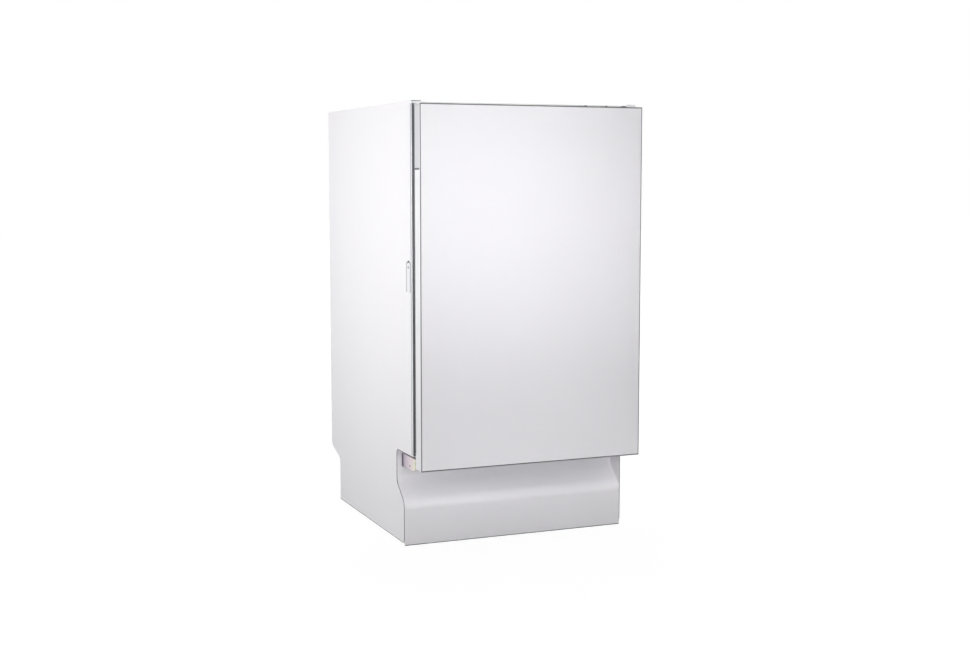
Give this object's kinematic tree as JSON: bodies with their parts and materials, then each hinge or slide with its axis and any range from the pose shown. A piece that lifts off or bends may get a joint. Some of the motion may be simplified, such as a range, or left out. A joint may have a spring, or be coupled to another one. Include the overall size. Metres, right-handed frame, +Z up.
{
  "type": "dishwasher",
  "caption": "Slim white built-in dishwasher with a bottom-hinged door, hidden top controls, pull-out wire racks, spray arms and a recessed kick panel.",
  "frame": {"origin": "on the floor, under the middle of the outer box", "axes": "+Z up, +X to the right of a person facing the door, the door faces -Y"},
  "size_m": [0.448, 0.55, 0.815],
  "materials": {
    "white_paint": "smooth satin white enamel",
    "white_plastic": "smooth moulded white",
    "console_grey": "fine moulded light grey",
    "bright_steel": "satin stainless sheet",
    "zinc_plate": "warm zinc plated steel",
    "base_plastic": "grained dark grey moulding",
    "part_grey": "moulded mid grey",
    "wire_coat": "grey coated wire",
    "dark_plastic": "black moulding",
    "button_plastic": "glossy dark grey",
    "display_pane": "smooth black pane",
    "rubber_seal": "soft grey-black seal",
    "bitumen_mat": "matt black damping mat",
    "pump_metal": "cast motor case",
    "valve_white": "plain white moulding",
    "cap_blue_grey": "blue-grey moulding"
  },
  "bodies": {
    "cabinet": {"side_panel_left": "white_paint", "side_panel_right": "white_paint", "hinge_bracket_left": "zinc_plate", "hinge_bracket_right": "zinc_plate", "back_panel": "zinc_plate", "top_front_rail": "white_paint", "tub_wrapper": "bright_steel", "tub_back": "bright_steel", "tub_floor": "base_plastic", "damping_mat": "bitumen_mat", "door_gasket": "rubber_seal", "plinth_panel": "white_paint", "base_tray": "base_plastic", "latch_strike": "zinc_plate", "feed_pipe": "part_grey", "spray_arm_hub": "part_grey", "filter_plate": "bright_steel", "sump": "base_plastic", "circulation_pump": "pump_metal", "drain_pump": "pump_metal", "softener_tank": "valve_white", "inlet_valve": "valve_white", "drain_spigot": "dark_plastic", "cord_gland": "dark_plastic", "side_clips": "part_grey", "hinge_pins": "zinc_plate", "rail_carriers": "part_grey"},
    "door": {"door_outer_panel": "white_paint", "door_inner_liner": "bright_steel", "control_console": "console_grey", "control_fascia": "white_plastic", "door_edges": "white_plastic", "hinge_arm_left": "zinc_plate", "hinge_arm_right": "zinc_plate", "latch_housing": "dark_plastic", "display_window": "display_pane", "dispenser_body": "part_grey"},
    "lower_rack": {"lower_rack": "wire_coat", "cutlery_basket": "part_grey"},
    "lower_spray_arm": {"lower_spray_arm": "part_grey"},
    "filter_cylinder": {"filter_cylinder": "part_grey"},
    "salt_cap": {"salt_cap": "cap_blue_grey"},
    "float": {"float": "valve_white"},
    "pump_rotor": {"pump_rotor": "valve_white"},
    "front_foot_left": {"front_foot_left": "dark_plastic"},
    "front_foot_right": {"front_foot_right": "dark_plastic"},
    "rear_foot": {"rear_foot": "dark_plastic"},
    "upper_rails": {"upper_rails": "bright_steel"},
    "latch_pawl": {"latch_pawl": "dark_plastic"},
    "power_button": {"power_button": "button_plastic"},
    "program_button": {"program_button": "button_plastic"},
    "start_button": {"start_button": "button_plastic"},
    "dispenser_lid": {"dispenser_lid": "part_grey"},
    "rinse_cap": {"rinse_cap": "cap_blue_grey"},
    "folding_tines": {"folding_tines": "wire_coat"},
    "front_rack_wheels": {"front_rack_wheels": "part_grey"},
    "rear_rack_wheels": {"rear_rack_wheels": "part_grey"},
    "upper_rack": {"upper_rack": "wire_coat"},
    "cup_shelf": {"cup_shelf": "wire_coat"},
    "upper_spray_arm": {"upper_spray_arm": "part_grey"}
  },
  "joints": [
    {"name": "door_hinge", "type": "hinge", "parent": "cabinet", "child": "door", "pos_m": [0, -0.229, 0.157], "axis": [1, 0, 0], "range_deg": [0, 90]},
    {"name": "lower_rack_slide", "type": "slide", "parent": "cabinet", "child": "lower_rack", "axis": [0, -1, 0], "range_m": [0, 0.15]},
    {"name": "front_wheel_roll", "type": "hinge", "parent": "lower_rack", "child": "front_rack_wheels", "pos_m": [0, -0.125, 0.1823], "axis": [1, 0, 0], "range_deg": [0, 506]},
    {"name": "rear_wheel_roll", "type": "hinge", "parent": "lower_rack", "child": "rear_rack_wheels", "pos_m": [0, 0.152, 0.1823], "axis": [1, 0, 0], "range_deg": [0, 506]},
    {"name": "tine_fold", "type": "hinge", "parent": "lower_rack", "child": "folding_tines", "pos_m": [0.02357, 0, 0.2186], "axis": [0, 1, 0], "range_deg": [0, 90]},
    {"name": "upper_rail_slide", "type": "slide", "parent": "cabinet", "child": "upper_rails", "axis": [0, -1, 0], "range_m": [0, 0.2]},
    {"name": "upper_rack_slide", "type": "slide", "parent": "upper_rails", "child": "upper_rack", "axis": [0, -1, 0], "range_m": [0, 0.2]},
    {"name": "upper_arm_spin", "type": "hinge", "parent": "upper_rack", "child": "upper_spray_arm", "pos_m": [0, -0.003, 0.5083], "axis": [0, 0, 1], "continuous": true},
    {"name": "cup_shelf_fold", "type": "hinge", "parent": "upper_rack", "child": "cup_shelf", "pos_m": [-0.168, 0, 0.652], "axis": [0, -1, 0], "range_deg": [0, 90]},
    {"name": "lower_arm_spin", "type": "hinge", "parent": "cabinet", "child": "lower_spray_arm", "pos_m": [0, 0.015, 0.175], "axis": [0, 0, 1], "continuous": true},
    {"name": "filter_twist", "type": "hinge", "parent": "cabinet", "child": "filter_cylinder", "pos_m": [0.062, -0.09, 0.15], "axis": [0, 0, 1], "range_deg": [0, 60]},
    {"name": "salt_cap_twist", "type": "hinge", "parent": "cabinet", "child": "salt_cap", "pos_m": [-0.118, -0.103, 0.15], "axis": [0, 0, 1], "range_deg": [0, 270]},
    {"name": "float_rise", "type": "slide", "parent": "cabinet", "child": "float", "axis": [0, 0, 1], "range_m": [0, 0.008]},
    {"name": "rotor_spin", "type": "hinge", "parent": "cabinet", "child": "pump_rotor", "pos_m": [0, -0.01, 0.092], "axis": [1, 0, 0], "continuous": true},
    {"name": "front_foot_left_adjust", "type": "slide", "parent": "cabinet", "child": "front_foot_left", "axis": [0, 0, -1], "range_m": [0, 0.04]},
    {"name": "front_foot_right_adjust", "type": "slide", "parent": "cabinet", "child": "front_foot_right", "axis": [0, 0, -1], "range_m": [0, 0.04]},
    {"name": "rear_foot_adjust", "type": "slide", "parent": "cabinet", "child": "rear_foot", "axis": [0, 0, -1], "range_m": [0, 0.04]},
    {"name": "power_press", "type": "slide", "parent": "door", "child": "power_button", "axis": [0, 0, -1], "range_m": [0, 0.001], "stiffness_N_per_m": 500},
    {"name": "program_press", "type": "slide", "parent": "door", "child": "program_button", "axis": [0, 0, -1], "range_m": [0, 0.001], "stiffness_N_per_m": 500},
    {"name": "start_press", "type": "slide", "parent": "door", "child": "start_button", "axis": [0, 0, -1], "range_m": [0, 0.001], "stiffness_N_per_m": 500},
    {"name": "latch_release", "type": "hinge", "parent": "door", "child": "latch_pawl", "pos_m": [0, -0.2615, 0.788], "axis": [1, 0, 0], "range_deg": [-20, 0], "stiffness_Nm_per_rad": 0.1},
    {"name": "dispenser_lid_slide", "type": "slide", "parent": "door", "child": "dispenser_lid", "axis": [-1, 0, 0], "range_m": [0, 0.058]},
    {"name": "rinse_cap_twist", "type": "hinge", "parent": "door", "child": "rinse_cap", "pos_m": [0.038, -0.226, 0.45], "axis": [0, 1, 0], "range_deg": [0, 90]}
  ],
  "couplings": [
    {"joint": "lower_rack_slide", "follows": "door_hinge", "m_per_rad": 0.0954},
    {"joint": "front_wheel_roll", "follows": "door_hinge", "ratio": 5.6118},
    {"joint": "rear_wheel_roll", "follows": "door_hinge", "ratio": 5.6118},
    {"joint": "upper_rail_slide", "follows": "door_hinge", "m_per_rad": 0.1273},
    {"joint": "upper_rack_slide", "follows": "door_hinge", "m_per_rad": 0.1273}
  ]
}
